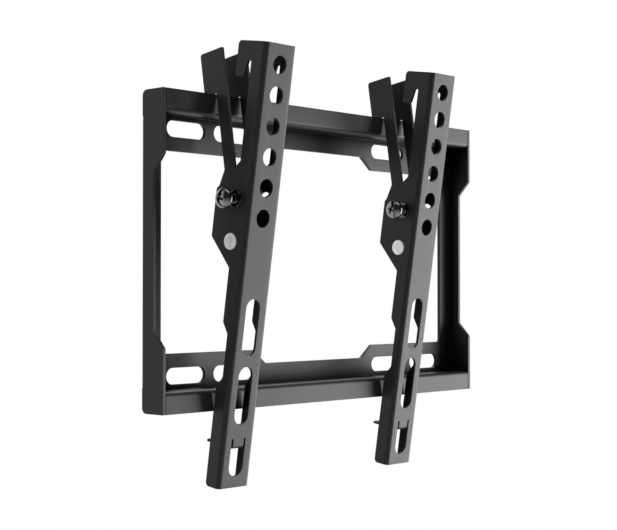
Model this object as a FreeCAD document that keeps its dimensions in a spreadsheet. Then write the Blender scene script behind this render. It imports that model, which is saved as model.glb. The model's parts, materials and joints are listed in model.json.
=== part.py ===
import FreeCAD, Part
import math
import os
import Sketcher

# Tilting wall mount: one folded wall plate and two hook-on arms.
# X runs along the rails, Y goes into the wall, Z is up, and the origin is the centre of the wall face.

SIZES = (
    # Wall plate
    ("plate_width", 248.3, "over both wings"),
    ("plate_height", 156.9, "over both lips"),
    ("plate_depth", 16.2, "wall to the front of the lips"),
    ("plate_sheet", 2.0, "thickness of the folded wall plate"),
    ("bend_inside", 0.4, "inner radius of the folds of the wall plate and the small folds of an arm"),
    ("lip_height", 10.8, "underside of a shelf to the edge of its lip"),
    ("rail_gap", 0.2, "end of a rail to the wing beside it"),
    ("corner_seam", 0.1, "relief at the corner of a rail to the start of the wing fold"),
    ("bend_relief", 2.0, "height of the corner left free between a wing fold and a shelf fold"),
    ("wing_depth", 8.9, "depth of a wing at its waist"),
    ("wing_waist", 77.2, "height of the waist of a wing"),
    ("wing_slope", 8.1, "height of the slope from waist to wide end"),
    ("wing_back", 1.1, "wall to the rear edge of the wide ends of a wing"),
    ("wing_corner", 3.0, "radius of the rear corners of a wing"),
    ("side_strip", 11.5, "width of the back plate beside the window"),
    ("window_height", 100.0, "height of the window at its ends"),
    ("window_rise", 7.2, "extra height of the window in the middle, each way"),
    ("window_middle", 78.0, "width of the higher middle of the window"),
    ("window_slope", 9.0, "width of each slope beside the higher middle"),
    ("window_corner", 2.0, "radius of the window corners"),
    ("slot_rows", 122.4, "height between the two rows of wall slots"),
    ("slot_height", 8.2, "height of a wall slot"),
    ("outer_slot_spacing", 192.0, "distance between the outer slots of a row"),
    ("outer_slot_length", 26.0, "length of an outer slot"),
    ("inner_slot_spacing", 125.0, "distance between the inner slots of a row"),
    ("inner_slot_length", 29.0, "length of an inner slot"),
    # Channel that carries the screen
    ("left_arm_position", -80.5, "middle of the left arm along the rail"),
    ("right_arm_position", 50.1, "middle of the right arm along the rail"),
    ("arm_width", 21.6, "outer width of a channel"),
    ("arm_sheet", 1.5, "thickness of the folded channel"),
    ("arm_bend_inside", 1.0, "inner radius of the two long folds of the channel"),
    ("arm_above_pivot", 97.8, "pivot to the top of a channel"),
    ("arm_below_pivot", 121.8, "pivot to the bottom of a channel"),
    ("pivot_depth", 9.8, "front face of a channel to the pivot"),
    ("flange_depth", 9.1, "depth of the flanges"),
    ("flange_corner", 1.0, "radius of the flange corners"),
    ("flange_end_corner", 2.2, "radius of the rear corners at both ends of a channel"),
    ("lip_clearance", 0.38, "gap between the flanges and the lower lip"),
    ("claw_depth", 19.0, "depth of the claw at the top of a flange"),
    ("claw_length", 17.6, "top of a channel to the tip of its claw"),
    ("claw_tip", 5.7, "width of the tip of a claw"),
    ("claw_slit_depth", 9.6, "top of a channel to the top of the slit inside its claw"),
    ("claw_slit_width", 2.1, "width of that slit at its top"),
    ("claw_slit_corner", 0.9, "corner radius at the top of the slit"),
    ("claw_corner", 1.2, "radius of the tip corners of a claw"),
    ("ear_depth", 23.6, "depth of the ear beside the pivot"),
    ("ear_top", 24.6, "pivot to the upper corner of the ear"),
    ("ear_bottom", 0.9, "pivot to the lower corner of the ear"),
    ("ear_upper_slope", 15.0, "height of the slope above the ear"),
    ("ear_lower_slope", 13.8, "height of the slope below the ear"),
    ("waist_top", 39.7, "pivot down to the start of the shallow waist"),
    ("waist_height", 32.3, "height of the shallow waist with its slopes"),
    ("waist_slope", 5.4, "height of each slope of the waist"),
    ("waist_depth", 5.3, "depth of the flanges at the waist"),
    ("hole_diameter", 8.9, "round screen holes"),
    ("hole_pitch", 15.0, "distance between round screen holes"),
    ("hole_start", 10.1, "top of a channel to the first hole"),
    ("slot_width", 9.3, "width of the screen slots"),
    ("long_slot_length", 28.8, "length of the two long screen slots"),
    ("first_slot_centre", 41.6, "pivot down to the middle of the upper long slot"),
    ("second_slot_centre", 75.4, "pivot down to the middle of the lower long slot"),
    ("end_slot_top", 97.0, "pivot down to the top of the slot with the tongue"),
    ("end_slot_bottom", 116.0, "pivot down to the bottom of that slot"),
    ("tongue_width", 7.3, "width of the tongue"),
    ("tongue_reach", 18.7, "front face of a channel to the tip of the tongue"),
    ("tongue_drop", 5.2, "top of the slot to the underside of the tongue"),
    ("tongue_tip_radius", 0.7, "radius of the tongue's tip edges"),
    # Hook bracket inside the channel
    ("hook_sheet", 1.5, "thickness of the folded hook bracket"),
    ("side_play", 0.3, "gap between a hook bracket and the flanges beside it"),
    ("hook_lean", 8.7, "degrees that a hook bracket leans towards the wall"),
    ("hang_height", 74.56, "pivot to the edge of the upper lip, along the hook bracket"),
    ("hang_offset", 2.21, "pivot to the middle of the lip, across the hook bracket"),
    ("hang_gap", 0.3, "gap between the lip and the notch that hangs on it"),
    ("hook_above_lip", 21.7, "top of the notch to the top of a hook bracket"),
    ("hook_front", 6.6, "pivot to the front edge of a hook bracket"),
    ("hook_back", 9.2, "pivot to the back edge of a hook"),
    ("hook_finger", 7.5, "length of the finger behind the lip"),
    ("hook_tip", 3.75, "width of the finger's tip"),
    ("hook_edge", 0.85, "pivot to the back edge of a hook bracket below its notch"),
    ("hook_notch_width", 3.8, "pivot to the back of the notch at its top"),
    ("hook_notch_corner", 0.4, "radius of the front corner of the notch"),
    ("hook_corner", 1.6, "radius of the upper rear corner of a hook"),
    ("hook_front_corner", 0.6, "radius of the upper front corner of a hook bracket"),
    ("hook_waist", 36.0, "pivot to the start of the slope above the pivot plate"),
    ("hook_slope", 7.5, "height of that slope"),
    ("hook_plate_back", 6.0, "pivot to the back edge of the pivot plate"),
    ("hook_foot_radius", 6.0, "radius of the lower corners of the pivot plate"),
    ("bridge_bottom", 1.5, "pivot to the lower edge of the bridge between the hook plates"),
    ("bridge_height", 12.8, "height of that bridge"),
    ("bridge_notch", 1.2, "height of the relief notch above and below the bridge"),
    ("bridge_notch_depth", 2.6, "depth of the relief notches"),
    # Pivot rivets
    ("rivet_shank", 6.0, "diameter of a rivet shank"),
    ("rivet_head", 8.3, "diameter of the flat outer head"),
    ("rivet_head_height", 0.7, "height of the flat outer head"),
    ("rivet_head_edge", 0.25, "chamfer of the outer head"),
    ("rivet_end", 8.0, "diameter of the formed inner end"),
    ("rivet_end_height", 1.2, "height of the formed inner end"),
    ("rivet_fit", 0.05, "radial clearance of a rivet in its holes"),
    ("rivet_play", 0.1, "gap between the formed end and the hook plate"),
    # Tension screw with its washers and nut
    ("screw_offset", 0.5, "pivot to the screw, towards the front"),
    ("screw_height", 20.9, "pivot up to the screw"),
    ("screw_shank", 5.0, "diameter of the screw"),
    ("screw_fit", 0.05, "radial clearance of the screw in its nut"),
    ("screw_hole_play", 0.25, "radial clearance of the screw in flange and washers"),
    ("screw_slot_play", 0.35, "clearance of the screw in the slots of the hook plates"),
    ("far_hole", 8.8, "diameter of the open hole in the right flange, opposite the screw"),
    ("screw_head", 10.2, "diameter of the pan head"),
    ("screw_head_height", 4.0, "height of the pan head"),
    ("screw_head_round", 2.6, "radius of the pan head's edge"),
    ("screw_stand_off", 7.3, "flange to the underside of the head"),
    ("screw_tip_past_nut", 1.0, "length of the screw beyond its nut"),
    ("screw_tip_chamfer", 0.5, "chamfer of the screw's tip"),
    ("recess_span", 5.6, "length of the arms of the cross recess"),
    ("recess_width", 1.3, "width of the arms of the cross recess"),
    ("recess_depth", 2.2, "depth of the cross recess"),
    ("spring_washer_outside", 8.2, "diameter of the spring washer"),
    ("spring_washer_height", 1.3, "height of the spring washer"),
    ("spring_washer_split", 0.8, "width of the split in the spring washer"),
    ("flat_washer_outside", 8.4, "diameter of the flat washer"),
    ("flat_washer_height", 1.0, "height of the flat washer"),
    ("slot_washer_outside", 10.0, "diameter of the washer behind the slot"),
    ("slot_washer_height", 1.0, "height of the washer behind the slot"),
    ("slot_washer_play", 0.3, "gap between the hook plate and the washer behind it"),
    ("nut_flats", 8.0, "width of the nut across its flats"),
    ("nut_height", 4.0, "height of the nut"),
)

# A hook bracket hangs on the upper lip, so the lip and the lean give the pivot.
# The channel turns on the pivot until its flanges reach the lower lip, which gives the tilt.
DERIVED = (
    ("pivot_y", "=-plate_depth + plate_sheet / 2 - hang_offset * cos(hook_lean * 1deg)"
                " - hang_height * sin(hook_lean * 1deg)"),
    ("pivot_z", "=plate_height / 2 + hang_offset * sin(hook_lean * 1deg)"
                " - hang_height * cos(hook_lean * 1deg)"),
    ("lip_ahead", "=-plate_depth - pivot_y"),
    ("lip_below", "=plate_height / 2 + pivot_z"),
    ("lip_distance", "=sqrt(lip_ahead * lip_ahead + lip_below * lip_below)"),
    ("arm_tilt", "=atan2(lip_ahead; lip_below)"
                 " + asin((pivot_depth - flange_depth - lip_clearance) / lip_distance)"),
    ("open_angle", "=arm_tilt + hook_lean * 1deg"),
    ("clamp_y", "=pivot_y - screw_offset * cos(arm_tilt) - screw_height * sin(arm_tilt)"),
    ("clamp_z", "=pivot_z - screw_offset * sin(arm_tilt) + screw_height * cos(arm_tilt)"),
    ("hook_width", "=arm_width - 2 * arm_sheet - 2 * side_play"),
    ("notch_top", "=hang_height + plate_sheet / 2 * sin(hook_lean * 1deg) + hang_gap"),
    ("rail_half_height", "=plate_height / 2 - lip_height"),
    ("screw_back_offset", "=screw_offset * cos(open_angle) + screw_height * sin(open_angle)"),
    ("screw_back_height", "=screw_height * cos(open_angle) - screw_offset * sin(open_angle)"),
    ("screw_slot_width", "=screw_height - screw_back_height + screw_shank + 2 * screw_slot_play"),
    ("washer_seat", "=arm_sheet + side_play + hook_sheet + slot_washer_play"),
    ("nut_seat", "=washer_seat + slot_washer_height"),
)

TOUCH = 1e-4
SPARE_CELL = "A1"
SCREEN_HOLES = 6
UP = FreeCAD.Vector(0, 0, 1)

doc = FreeCAD.newDocument("tv_mount")
sheet = doc.addObject("Spreadsheet::Sheet", "Dim")
spare = doc.addObject("Spreadsheet::Sheet", "Spare")


def fill_sheet():
    """Write the driving sizes and the few values that follow from them."""
    for row, (alias, value, note) in enumerate(SIZES, start=1):
        sheet.set(f"A{row}", str(value))
        sheet.setAlias(f"A{row}", alias)
        sheet.set(f"B{row}", note)
    for row, (alias, formula) in enumerate(DERIVED, start=len(SIZES) + 1):
        sheet.set(f"A{row}", formula)
        sheet.setAlias(f"A{row}", alias)
    doc.recompute()


def size(alias):
    """The present value of a cell as a plain number."""
    value = getattr(sheet, alias)
    return getattr(value, "Value", value)


def value_of(expression):
    """The present value of an expression, worked out in a spare cell."""
    spare.set(SPARE_CELL, f"={expression}")
    spare.recompute()
    value = spare.get(SPARE_CELL)
    return float(getattr(value, "Value", value))


def start_point(across, up):
    """Where a point of a sketch starts, from its two expressions."""
    return FreeCAD.Vector(value_of(across), value_of(up), 0)


def new_body(label, east, north, up, lean=None, lean_axis=1.0):
    """A body whose place, and lean about the X direction, follow the sheet."""
    body = doc.addObject("PartDesign::Body", label)
    body.Label = label
    if lean:
        turn = FreeCAD.Rotation(FreeCAD.Vector(lean_axis, 0, 0), 1.0)
        body.Placement = FreeCAD.Placement(FreeCAD.Vector(), turn)
        body.setExpression("Placement.Rotation.Angle", lean)
    body.setExpression("Placement.Base.x", east)
    body.setExpression("Placement.Base.y", north)
    body.setExpression("Placement.Base.z", up)
    return body


def origin_part(body, role):
    """An origin plane or axis of a body."""
    return next(part for part in body.Origin.OriginFeatures if part.Role == role)


def new_sketch(body, name, plane, offset=None):
    """A sketch on an origin plane, moved along its normal by offset."""
    sketch = body.newObject("Sketcher::SketchObject", f"{body.Name}_{name}")
    sketch.AttachmentSupport = [(origin_part(body, plane), "")]
    sketch.MapMode = "FlatFace"
    if offset:
        sketch.setExpression("AttachmentOffset.Base.z", offset)
    return sketch


def fix_point(sketch, geometry, place, across, up):
    """Tie a point of a sketch to the origin by two expressions."""
    point = sketch.getPoint(geometry, place)
    for kind, start, expression in (("DistanceX", point.x, across), ("DistanceY", point.y, up)):
        index = sketch.addConstraint(Sketcher.Constraint(kind, -1, 1, geometry, place, start))
        sketch.setExpression(f"Constraints[{index}]", expression)


def add_outline(sketch, corners):
    """A closed outline of straight edges through corners given as pairs of expressions."""
    count = len(corners)
    first = sketch.GeometryCount
    start = [start_point(across, up) for across, up in corners]
    for index in range(count):
        sketch.addGeometry(Part.LineSegment(start[index], start[(index + 1) % count]), False)
    for index in range(count):
        following = first + (index + 1) % count
        sketch.addConstraint(Sketcher.Constraint("Coincident", first + index, 2, following, 1))
    for index, (across, up) in enumerate(corners):
        fix_point(sketch, first + index, 1, across, up)


def add_circle(sketch, across, up, diameter):
    """A circle by its centre and diameter."""
    width = value_of(diameter)
    circle = sketch.addGeometry(Part.Circle(start_point(across, up), UP, width / 2), False)
    fix_point(sketch, circle, 3, across, up)
    index = sketch.addConstraint(Sketcher.Constraint("Diameter", circle, width))
    sketch.setExpression(f"Constraints[{index}]", diameter)


def add_slot(sketch, across, up, length, width, upright=False):
    """A slot with round ends: its middle, its length over the ends and its width."""
    half = f"(({length}) - ({width})) / 2"
    if upright:
        ends = [(across, f"{up} + {half}"), (across, f"{up} - {half}")]
        turn = math.pi / 2
    else:
        ends = [(f"{across} + {half}", up), (f"{across} - {half}", up)]
        turn = 0.0
    far, near_end = [start_point(*end) for end in ends]
    radius = value_of(width) / 2
    side = FreeCAD.Vector(-math.sin(turn), math.cos(turn), 0) * radius
    quarter = math.pi / 2
    far_arc = Part.ArcOfCircle(Part.Circle(far, UP, radius), turn - quarter, turn + quarter)
    near_arc = Part.ArcOfCircle(Part.Circle(near_end, UP, radius), turn + quarter, turn + 3 * quarter)
    first = sketch.addGeometry(far_arc, False)
    second = sketch.addGeometry(near_arc, False)
    upper = sketch.addGeometry(Part.LineSegment(far + side, near_end + side), False)
    lower = sketch.addGeometry(Part.LineSegment(near_end - side, far - side), False)
    for one, one_end, other, other_end in ((first, 2, upper, 1), (upper, 2, second, 1),
                                           (second, 2, lower, 1), (lower, 2, first, 1)):
        sketch.addConstraint(Sketcher.Constraint("Tangent", one, one_end, other, other_end))
    index = sketch.addConstraint(Sketcher.Constraint("Radius", first, radius))
    sketch.setExpression(f"Constraints[{index}]", f"({width}) / 2")
    fix_point(sketch, first, 3, *ends[0])
    fix_point(sketch, second, 3, *ends[1])


def add_pad(body, sketch, length, symmetric=True, reverse=False):
    """Extrude a sketch into new material."""
    pad = body.newObject("PartDesign::Pad", f"{sketch.Name}_pad")
    pad.Profile = sketch
    pad.setExpression("Length", length)
    pad.SideType = "Symmetric" if symmetric else "One side"
    pad.Reversed = reverse
    doc.recompute()
    return pad


def add_pocket(body, sketch, length=None, symmetric=False, reverse=False):
    """Cut a sketch out of the body, right through where no length is given."""
    before = body.Tip.Shape.Volume
    pocket = body.newObject("PartDesign::Pocket", f"{sketch.Name}_cut")
    pocket.Profile = sketch
    if length:
        pocket.setExpression("Length", length)
    else:
        pocket.Type = "ThroughAll"
    pocket.SideType = "Symmetric" if symmetric else "One side"
    pocket.Reversed = reverse
    doc.recompute()
    if pocket.Shape.Volume >= before:
        raise RuntimeError(f"{pocket.Name} cuts nothing")
    return pocket


def straight_edges(shape, direction, test):
    """Names of the straight edges along a direction whose two ends both pass a test."""
    names = []
    for index, edge in enumerate(shape.Edges, start=1):
        if edge.Curve.TypeId == "Part::GeomLine" and edge.Curve.Direction.cross(direction).Length < TOUCH \
                and all(test(end.Point) for end in edge.Vertexes):
            names.append(f"Edge{index}")
    return names


def add_rounding(body, kind, name, edges, radius):
    """A fillet or chamfer on named edges of the body as it stands."""
    if not edges:
        raise RuntimeError(f"{body.Label} has no edge for {name}")
    base = body.Tip
    feature = body.newObject(f"PartDesign::{kind}", f"{body.Name}_{name}")
    feature.Base = (base, edges)
    feature.setExpression("Radius" if kind == "Fillet" else "Size", radius)
    doc.recompute()
    return feature


def round_corners(body, name, sketch, corners, radius):
    """Round the edges that were extruded from numbered corners of an outline."""
    normal = sketch.Placement.Rotation.multVec(UP)
    edges = []
    for corner in corners:
        point = sketch.Placement.multVec(sketch.Geometry[corner].StartPoint)
        edges += straight_edges(body.Tip.Shape, normal,
                                lambda end: (end - point).cross(normal).Length < TOUCH)
    return add_rounding(body, "Fillet", name, edges, radius)


def near(value, target):
    """Whether two lengths are the same."""
    return abs(value - target) < TOUCH


def build_wall_plate():
    """Back plate with window and slots, shelves with turned-out lips, and side wings."""
    body = new_body("wall_plate", "0", "0", "0")
    lip_edge = "Dim.plate_height / 2"
    shelf_in = "Dim.rail_half_height"
    shelf_out = "Dim.rail_half_height + Dim.plate_sheet"
    front = "-Dim.plate_depth"
    lip_back = "-Dim.plate_depth + Dim.plate_sheet"
    inner = "-Dim.plate_sheet"
    upper = [(inner, shelf_in), (front, shelf_in), (front, lip_edge), (lip_back, lip_edge),
             (lip_back, shelf_out), ("0", shelf_out)]
    lower = [(across, f"-({up})") for across, up in reversed(upper)]
    section = new_sketch(body, "section", "YZ_Plane")
    add_outline(section, upper + lower)
    add_pad(body, section, "Dim.plate_width - 2 * (Dim.plate_sheet + Dim.rail_gap)")
    round_corners(body, "outer_folds", section, (1, 5, 6, 10), "Dim.bend_inside + Dim.plate_sheet")
    round_corners(body, "inner_folds", section, (0, 4, 7, 11), "Dim.bend_inside")

    # The corners are relieved where a shelf fold would run into a wing fold.
    side = "Dim.plate_width / 2"
    side_in = "(Dim.plate_width / 2 - Dim.plate_sheet)"
    fold = "-(Dim.bend_inside + Dim.plate_sheet)"
    relief_in = f"({side_in} - Dim.bend_inside - Dim.corner_seam)"
    relief = new_sketch(body, "corner_relief", "XY_Plane")
    for column in ("", "-"):
        add_outline(relief, [(f"{column}{relief_in}", fold), (f"{column}{side}", fold),
                             (f"{column}{side}", "Dim.plate_sheet"),
                             (f"{column}{relief_in}", "Dim.plate_sheet")])
    add_pocket(body, relief, symmetric=True)

    # The back plate turns forward into the wings between the two shelf folds.
    waist = "-Dim.wing_depth"
    wrap = new_sketch(body, "wrap", "XY_Plane")
    add_outline(wrap, [(f"-{side}", "0"), (side, "0"), (side, waist), (side_in, waist),
                       (side_in, inner), (f"-{side_in}", inner), (f"-{side_in}", waist),
                       (f"-{side}", waist)])
    add_pad(body, wrap, "2 * (Dim.rail_half_height - Dim.bend_relief)")
    half_width = size("plate_width") / 2
    sheet_size = size("plate_sheet")
    edges = straight_edges(body.Tip.Shape, UP,
                           lambda end: near(abs(end.x), half_width) and near(end.y, 0))
    add_rounding(body, "Fillet", "wing_folds", edges, "Dim.bend_inside + Dim.plate_sheet")
    edges = straight_edges(body.Tip.Shape, UP,
                           lambda end: near(abs(end.x), half_width - sheet_size)
                           and near(end.y, -sheet_size))
    add_rounding(body, "Fillet", "wing_folds_inside", edges, "Dim.bend_inside")

    # Each wing is wide at its ends, where it closes the rails.
    rear = "-Dim.wing_back"
    fold_end = "Dim.rail_half_height - Dim.bend_relief"
    upper = [(rear, fold_end), (rear, lip_edge), (front, lip_edge),
             (front, "Dim.wing_waist / 2 + Dim.wing_slope"), (waist, "Dim.wing_waist / 2"),
             (fold, "Dim.wing_waist / 2"), (fold, fold_end)]
    ends = new_sketch(body, "wing_ends", "YZ_Plane", side_in)
    add_outline(ends, upper)
    add_outline(ends, [(across, f"-({up})") for across, up in reversed(upper)])
    pad = add_pad(body, ends, "Dim.plate_sheet", symmetric=False)
    corner = len(upper) - 2
    round_corners(body, "wing_corners", ends, (1, len(upper) + corner), "Dim.wing_corner")
    rounded = body.Tip
    mirror = body.newObject("PartDesign::Mirrored", "wall_plate_other_wing")
    mirror.Originals = [pad, rounded]
    mirror.MirrorPlane = (origin_part(body, "YZ_Plane"), [""])
    body.Tip = mirror
    doc.recompute()

    half_window = "Dim.plate_width / 2 - Dim.side_strip"
    middle = "Dim.window_middle / 2"
    slope = "Dim.window_middle / 2 + Dim.window_slope"
    low = "Dim.window_height / 2"
    high = "Dim.window_height / 2 + Dim.window_rise"
    quarter = [(half_window, low), (slope, low), (middle, high)]
    upper = quarter + [(f"-({across})", up) for across, up in reversed(quarter)]
    lower = [(across, f"-({up})") for across, up in reversed(upper)]
    window = new_sketch(body, "window", "XZ_Plane")
    add_outline(window, upper + lower)
    add_pocket(body, window, symmetric=True)
    round_corners(body, "window_corners", window, range(len(upper + lower)), "Dim.window_corner")

    slots = new_sketch(body, "slots", "XZ_Plane")
    for row in ("", "-"):
        for column in ("", "-"):
            for name in ("outer", "inner"):
                add_slot(slots, f"{column}Dim.{name}_slot_spacing / 2", f"{row}Dim.slot_rows / 2",
                         f"Dim.{name}_slot_length", "Dim.slot_height")
    add_pocket(body, slots, symmetric=True)
    return body


def build_tv_bracket(side):
    """Channel with screen holes and slots, ears at the pivot, claws and a tongue."""
    body = new_body(f"{side}_arm_tv_bracket", f"Dim.{side}_arm_position", "Dim.pivot_y", "Dim.pivot_z",
                    "Dim.arm_tilt")
    top = "Dim.arm_above_pivot"
    bottom = "-Dim.arm_below_pivot"
    front = "-Dim.pivot_depth"
    back = "Dim.flange_depth - Dim.pivot_depth"
    claw_back = "Dim.claw_depth - Dim.pivot_depth"
    claw_end = "Dim.arm_above_pivot - Dim.claw_length"
    slit_top = "Dim.arm_above_pivot - Dim.claw_slit_depth"
    ear_back = "Dim.ear_depth - Dim.pivot_depth"
    waist_back = "Dim.waist_depth - Dim.pivot_depth"
    waist_end = "-(Dim.waist_top + Dim.waist_height)"
    flange = new_sketch(body, "flange", "YZ_Plane")
    add_outline(flange, [
        (front, top), (claw_back, top), (claw_back, claw_end),
        (f"{claw_back} - Dim.claw_tip", claw_end), (f"{back} + Dim.claw_slit_width", slit_top),
        (back, slit_top), (back, "Dim.ear_top + Dim.ear_upper_slope"), (ear_back, "Dim.ear_top"),
        (ear_back, "Dim.ear_bottom"), (back, "Dim.ear_bottom - Dim.ear_lower_slope"),
        (back, "-Dim.waist_top"), (waist_back, "-(Dim.waist_top + Dim.waist_slope)"),
        (waist_back, f"{waist_end} + Dim.waist_slope"), (back, waist_end), (back, bottom),
        (front, bottom)])
    add_pad(body, flange, "Dim.arm_width")
    round_corners(body, "end_corners", flange, (1, 14), "Dim.flange_end_corner")
    round_corners(body, "claw_corners", flange, (2, 3), "Dim.claw_corner")
    round_corners(body, "slit_corners", flange, (4, 5), "Dim.claw_slit_corner")
    round_corners(body, "flange_corners", flange, range(6, 14), "Dim.flange_corner")

    inside = "Dim.arm_sheet - Dim.pivot_depth"
    beyond = "Dim.ear_depth"
    hollow = new_sketch(body, "hollow", "YZ_Plane")
    add_outline(hollow, [(inside, f"2 * {top}"), (beyond, f"2 * {top}"), (beyond, f"2 * {bottom}"),
                         (inside, f"2 * {bottom}")])
    add_pocket(body, hollow, "Dim.arm_width - 2 * Dim.arm_sheet", symmetric=True)
    half_width = size("arm_width") / 2
    sheet_size = size("arm_sheet")
    depth = size("pivot_depth")
    edges = straight_edges(body.Tip.Shape, UP,
                           lambda end: near(abs(end.x), half_width) and near(end.y, -depth))
    add_rounding(body, "Fillet", "folds", edges, "Dim.arm_bend_inside + Dim.arm_sheet")
    edges = straight_edges(body.Tip.Shape, UP,
                           lambda end: near(abs(end.x), half_width - sheet_size)
                           and near(end.y, sheet_size - depth))
    add_rounding(body, "Fillet", "folds_inside", edges, "Dim.arm_bend_inside")

    openings = new_sketch(body, "openings", "XZ_Plane")
    for index in range(SCREEN_HOLES):
        add_circle(openings, "0", f"{top} - Dim.hole_start - {index} * Dim.hole_pitch",
                   "Dim.hole_diameter")
    for name in ("first", "second"):
        add_slot(openings, "0", f"-Dim.{name}_slot_centre", "Dim.long_slot_length", "Dim.slot_width",
                 upright=True)
    add_pocket(body, openings, reverse=True)
    end_slot = new_sketch(body, "end_slot", "XZ_Plane")
    add_slot(end_slot, "0", "-(Dim.end_slot_top + Dim.end_slot_bottom + Dim.tongue_drop) / 2",
             "Dim.end_slot_bottom - Dim.end_slot_top - Dim.tongue_drop", "Dim.slot_width", upright=True)
    add_pocket(body, end_slot, reverse=True)
    gap_side = "Dim.slot_width / 2"
    gap_low = "-(Dim.end_slot_top + Dim.tongue_drop + Dim.slot_width / 2)"
    gap = new_sketch(body, "tongue_gap", "XZ_Plane")
    add_outline(gap, [(f"-{gap_side}", "-Dim.end_slot_top"), (gap_side, "-Dim.end_slot_top"),
                      (gap_side, gap_low), (f"-{gap_side}", gap_low)])
    add_pocket(body, gap, reverse=True)

    tongue_top = "-Dim.end_slot_top"
    tongue_low = "-(Dim.end_slot_top + Dim.tongue_drop)"
    tongue_high = f"{tongue_low} + Dim.arm_sheet"
    tip = "Dim.tongue_reach - Dim.pivot_depth"
    tongue = new_sketch(body, "tongue", "YZ_Plane")
    add_outline(tongue, [(front, tongue_top), (inside, tongue_top), (inside, tongue_high),
                         (tip, tongue_high), (tip, tongue_low), (front, tongue_low)])
    add_pad(body, tongue, "Dim.tongue_width")
    round_corners(body, "tongue_fold", tongue, (5,), "Dim.bend_inside + Dim.arm_sheet")
    round_corners(body, "tongue_fold_inside", tongue, (2,), "Dim.bend_inside")
    round_corners(body, "tongue_tip", tongue, (3, 4), "Dim.tongue_tip_radius")

    pivot_hole = new_sketch(body, "pivot_hole", "YZ_Plane")
    add_circle(pivot_hole, "0", "0", "Dim.rivet_shank + 2 * Dim.rivet_fit")
    add_pocket(body, pivot_hole, symmetric=True)
    screw_hole = new_sketch(body, "screw_hole", "YZ_Plane")
    add_circle(screw_hole, "-Dim.screw_offset", "Dim.screw_height",
               "Dim.screw_shank + 2 * Dim.screw_hole_play")
    add_pocket(body, screw_hole)
    far_hole = new_sketch(body, "far_hole", "YZ_Plane")
    add_circle(far_hole, "-Dim.screw_offset", "Dim.screw_height", "Dim.far_hole")
    add_pocket(body, far_hole, reverse=True)
    return body


def build_hook_bracket(side):
    """Two hook plates joined by a folded bridge, hung on the upper lip."""
    body = new_body(f"{side}_arm_hook_bracket", f"Dim.{side}_arm_position", "Dim.pivot_y", "Dim.pivot_z",
                    "Dim.hook_lean * 1deg", -1.0)
    front = "-Dim.hook_front"
    top = "Dim.notch_top + Dim.hook_above_lip"
    finger_end = "Dim.notch_top - Dim.hook_finger"
    notch_back = "-Dim.hook_front + Dim.bridge_notch_depth"
    bridge_top = "Dim.bridge_bottom + Dim.bridge_height"
    plates = new_sketch(body, "plates", "YZ_Plane")
    add_outline(plates, [
        (front, top), ("Dim.hook_back", top), ("Dim.hook_back", finger_end),
        ("Dim.hook_back - Dim.hook_tip", finger_end), ("Dim.hook_notch_width", "Dim.notch_top"),
        ("Dim.hook_edge", "Dim.notch_top"), ("Dim.hook_edge", "Dim.hook_waist"),
        ("Dim.hook_plate_back", "Dim.hook_waist - Dim.hook_slope"),
        ("Dim.hook_plate_back", front), (front, front),
        (front, "Dim.bridge_bottom - Dim.bridge_notch"),
        (notch_back, "Dim.bridge_bottom - Dim.bridge_notch"), (notch_back, "Dim.bridge_bottom"),
        (front, "Dim.bridge_bottom"), (front, bridge_top), (notch_back, bridge_top),
        (notch_back, f"{bridge_top} + Dim.bridge_notch"), (front, f"{bridge_top} + Dim.bridge_notch")])
    add_pad(body, plates, "Dim.hook_width")
    round_corners(body, "top_front_corners", plates, (0,), "Dim.hook_front_corner")
    round_corners(body, "top_rear_corners", plates, (1,), "Dim.hook_corner")
    round_corners(body, "finger_corners", plates, (2, 3), "Dim.claw_corner")
    round_corners(body, "notch_back_corners", plates, (4,), "Dim.claw_slit_corner")
    round_corners(body, "notch_front_corners", plates, (5,), "Dim.hook_notch_corner")
    round_corners(body, "waist_corners", plates, (6, 7), "Dim.flange_corner")
    round_corners(body, "foot_corners", plates, (8, 9), "Dim.hook_foot_radius")

    beyond = "3 * Dim.hook_front"
    bridge_in = "Dim.hook_sheet - Dim.hook_front"
    hollow = new_sketch(body, "hollow", "YZ_Plane")
    add_outline(hollow, [
        (f"-{beyond}", f"2 * ({top})"), (beyond, f"2 * ({top})"), (beyond, f"-{beyond}"),
        (f"-{beyond}", f"-{beyond}"), (f"-{beyond}", "Dim.bridge_bottom"),
        (bridge_in, "Dim.bridge_bottom"), (bridge_in, bridge_top), (f"-{beyond}", bridge_top)])
    add_pocket(body, hollow, "Dim.hook_width - 2 * Dim.hook_sheet", symmetric=True)
    half_width = size("hook_width") / 2
    sheet_size = size("hook_sheet")
    reach = size("hook_front")
    low = size("bridge_bottom")
    high = low + size("bridge_height")
    edges = straight_edges(body.Tip.Shape, UP,
                           lambda end: near(abs(end.x), half_width) and near(end.y, -reach)
                           and low - TOUCH < end.z < high + TOUCH)
    add_rounding(body, "Fillet", "folds", edges, "Dim.bend_inside + Dim.hook_sheet")
    edges = straight_edges(body.Tip.Shape, UP,
                           lambda end: near(abs(end.x), half_width - sheet_size)
                           and near(end.y, sheet_size - reach))
    add_rounding(body, "Fillet", "folds_inside", edges, "Dim.bend_inside")

    pivot_hole = new_sketch(body, "pivot_hole", "YZ_Plane")
    add_circle(pivot_hole, "0", "0", "Dim.rivet_shank + 2 * Dim.rivet_fit")
    add_pocket(body, pivot_hole, symmetric=True)
    # Both plates have the screw's slot, open at the front, where the screw stands at full tilt.
    slot_end = "(Dim.screw_shank / 2 + Dim.screw_slot_play - Dim.screw_offset)"
    slot_start = "(-2 * Dim.hook_front - Dim.screw_slot_width)"
    screw_slot = new_sketch(body, "screw_slot", "YZ_Plane")
    add_slot(screw_slot, f"({slot_end} + {slot_start}) / 2",
             "(Dim.screw_height + Dim.screw_back_height) / 2",
             f"{slot_end} - {slot_start}", "Dim.screw_slot_width")
    add_pocket(body, screw_slot, symmetric=True)
    return body


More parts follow.
